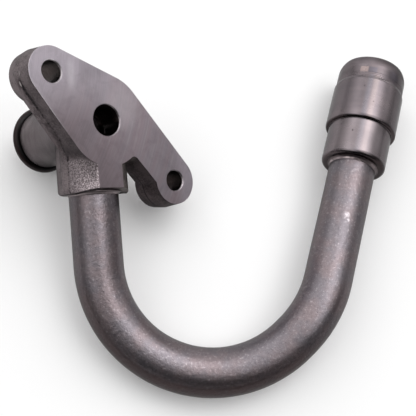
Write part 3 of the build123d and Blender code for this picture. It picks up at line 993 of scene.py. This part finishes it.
ringRubber = {
    "color": (0.003, 0.0022, 0.0024),
    "outer": (0.024, 0.0145, 0.0155),
    "outerSpan": (12.9, 13.9),    # radii
    "roughness": (0.24, 0.4),
    "bump": 0.00002,
    "grain": (5.0, 0.4, 0.0),
    "ior": 1.27,
}


def ringMaterial():
    r = ringRubber
    material, tree = newMaterial("ringRubber")
    vector, axes = placeCoordinates(tree, spigotPlace, "xyz")
    blasted = grouped(tree, blastedGrain, vector, *r["grain"])
    outer = spanNode(tree, fromAxis(tree, axes["x"], axes["y"]), *r["outerSpan"])
    rough = mixValue(tree, blasted["Blotches"], *r["roughness"])
    finishMaterial(tree, mixColor(tree, outer, r["color"], r["outer"]), rough, blasted["Height"], r["bump"],
                   metallic=0.0, tint=1.0, ior=r["ior"])
    return material


brazeMetal = {
    "dark": (0.2, 0.168, 0.174),
    "fitting": {"light": (0.6, 0.51, 0.52), "footShade": (0.11, 0.088, 0.09)},
    # the neck's bead has a dimmer light tone, as painted shade under the neck
    "neck": {"light": (0.33, 0.28, 0.285), "footShade": (0.22, 0.185, 0.19)},
    "lightSpan": (0.35, 0.65),
    "footShadeRows": ((1.0, ("radius", 10.15, 10.7)), (1.0, ("x", 0.0, -5.0, 0.0, 0.75))),
    "roughness": (0.3, 0.45),
    "bump": 0.00008,
    "grain": (3.0, 0.5, 0.3),
    "glancing": 0.6,
}


# Melted metal, with painted shade at its foot beside the tube and on its left side
def brazeMaterial(name, place, colors):
    b = brazeMetal
    material, tree = newMaterial(name)
    vector, axes = placeCoordinates(tree, place, "xyz")
    blasted = grouped(tree, blastedGrain, vector, *b["grain"])
    axes["radius"] = fromAxis(tree, axes["x"], axes["y"])
    color = mixColor(tree, spanNode(tree, blasted["Blotches"], *b["lightSpan"]), b["dark"], colors["light"])
    color = mixColor(tree, zones(tree, axes, b["footShadeRows"]), color, colors["footShade"])
    rough = mixValue(tree, blasted["Blotches"], *b["roughness"])
    finishMaterial(tree, glancing(tree, color, b["glancing"]), rough, blasted["Height"], b["bump"])
    return material


for piece, node, slotName, material in (
        (tube, "discharge_tube", "tube_steel", tubeMaterial()),
        (fitting, "end_fitting", "turned_steel", fittingMaterial()),
        (ring, "sealing_ring", "ring_rubber", ringMaterial()),
        (flange, "flange_body", "forged_steel", forgingMaterial()),
        (fittingBraze, "fitting_braze", "braze", brazeMaterial("fittingBraze", fittingPlace, brazeMetal["fitting"])),
        (neckBraze, "neck_braze", "braze", brazeMaterial("neckBraze", neckPlace, brazeMetal["neck"]))):
    piece.data.materials.append(material)
    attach(piece, "root")
    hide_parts(node)
print("materials given")

studio = {
    "floorColor": (0.88, 0.88, 0.88),
    "floorGlow": 0.1,
    "floorSize": 4.0,         # half of its side
    "floorPoints": 9,         # along each side
    "softness": 30.0,         # of the lights: a higher value makes smaller glows
}

# The studio's soft lights: the way each lies in, and how bright its middle is
softLights = [
    ((0.36, -0.23, 0.90), 3.12),
    ((0.49, 0.18, 0.85), 2.53),
    ((0.21, 0.27, 0.94), 2.47),
    ((-0.38, 0.54, 0.75), 2.12),
    ((0.54, 0.45, 0.71), 1.68),
    ((0.37, 0.91, 0.21), 1.56),
    ((-0.38, -0.07, 0.92), 1.50),
    ((0.93, 0.25, 0.26), 1.39),
    ((-0.72, 0.03, 0.70), 1.39),
    ((0.18, 0.57, 0.80), 1.21),
    ((-0.33, 0.79, 0.52), 0.88),
    ((-0.54, -0.31, 0.78), 0.65),
    ((-0.17, 0.94, 0.30), 0.61),
    ((-0.50, 0.85, 0.16), 0.57),
    ((0.15, 0.89, 0.44), 0.54),
    ((-0.12, 0.45, 0.89), 0.42),
    ((-0.63, 0.68, 0.39), 0.36),
    ((0.77, 0.10, 0.63), 0.35),
    ((-0.98, 0.15, 0.10), 0.60),
    ((0.74, -0.66, 0.10), 0.80),
]


# Each light is a soft round glow on a dark dome: brightness * e^(softness * (cosine of the angle from it - 1))
def studioWorld():
    world = bpy.data.worlds.new("studio")
    world.use_nodes = True
    tree = world.node_tree
    tree.nodes.clear()
    direction = add(tree, "ShaderNodeTexCoord").outputs["Generated"]
    level = 0.0
    for toward, brightness in softLights:
        cosine = add(tree, "ShaderNodeVectorMath", {0: direction, 1: Vector(toward).normalized()},
                     operation="DOT_PRODUCT").outputs["Value"]
        falloff = mathNode(tree, "MULTIPLY_ADD", cosine, studio["softness"], -studio["softness"])
        level = mathNode(tree, "MULTIPLY_ADD", mathNode(tree, "EXPONENT", falloff), brightness, level)
    background = add(tree, "ShaderNodeBackground", {"Color": level})
    add(tree, "ShaderNodeOutputWorld", {"Surface": background.outputs[0]})
    bpy.context.scene.world = world


studioWorld()


# A flat grid under the part, a little brighter to the camera and in reflections than its matt colour alone
def floorSheet():
    size, count = studio["floorSize"], studio["floorPoints"]
    t = np.linspace(-size, size, count)
    points = np.stack(np.meshgrid(t, t, [0.0], indexing="ij"), axis=-1)[:, :, 0]
    index = np.arange(count * count).reshape(count, count)
    faces = np.stack((index[:-1, :-1], index[1:, :-1], index[1:, 1:], index[:-1, 1:]), axis=-1).reshape(-1, 4)
    mesh = bpy.data.meshes.new("paleFloor")
    mesh.from_pydata(points.reshape(-1, 3).tolist(), [], faces.tolist())
    floor = bpy.data.objects.new("paleFloor", mesh)
    bpy.context.scene.collection.objects.link(floor)
    material, tree = newMaterial("paleFloor")
    rays = add(tree, "ShaderNodeLightPath").outputs
    seen = mathNode(tree, "MAXIMUM", rays["Is Camera Ray"], rays["Is Glossy Ray"])
    seen = mathNode(tree, "MAXIMUM", seen, rays["Is Transmission Ray"])
    matt = add(tree, "ShaderNodeBsdfDiffuse", {"Color": (*studio["floorColor"], 1)})
    glow = add(tree, "ShaderNodeEmission", {"Strength": mathNode(tree, "MULTIPLY", seen, studio["floorGlow"])})
    both = add(tree, "ShaderNodeAddShader", {0: matt.outputs[0], 1: glow.outputs[0]})
    add(tree, "ShaderNodeOutputMaterial", {"Surface": both.outputs[0]})
    mesh.materials.append(material)


floorSheet()

# The photo's viewing angle
view = {
    "place": (-68.59, -105.27, 350.61),  # in millimetres
    "right": (0.9759, -0.1937, 0.0986),
    "up": (0.1492, 0.9274, 0.3431),
    "lens": 73.47,
    "sensor": 36,
    "nearest": 0.01,
}


def photoCamera():
    up = Vector(view["up"])
    back = Vector(view["right"]).cross(up).normalized()
    right = up.cross(back).normalized()
    up = back.cross(right)
    data = bpy.data.cameras.new("photoView")
    data.lens, data.sensor_width, data.clip_start = view["lens"], view["sensor"], view["nearest"]
    camera = bpy.data.objects.new("photoView", data)
    spin = Matrix((right, up, back)).transposed().to_4x4()
    camera.matrix_world = Matrix.Translation(Vector(view["place"]) * mm) @ spin
    bpy.context.scene.collection.objects.link(camera)
    bpy.context.scene.camera = camera


photoCamera()
bpy.context.scene.view_settings.view_transform = "Standard"
print("studio ready")

bpy.context.view_layer.update()
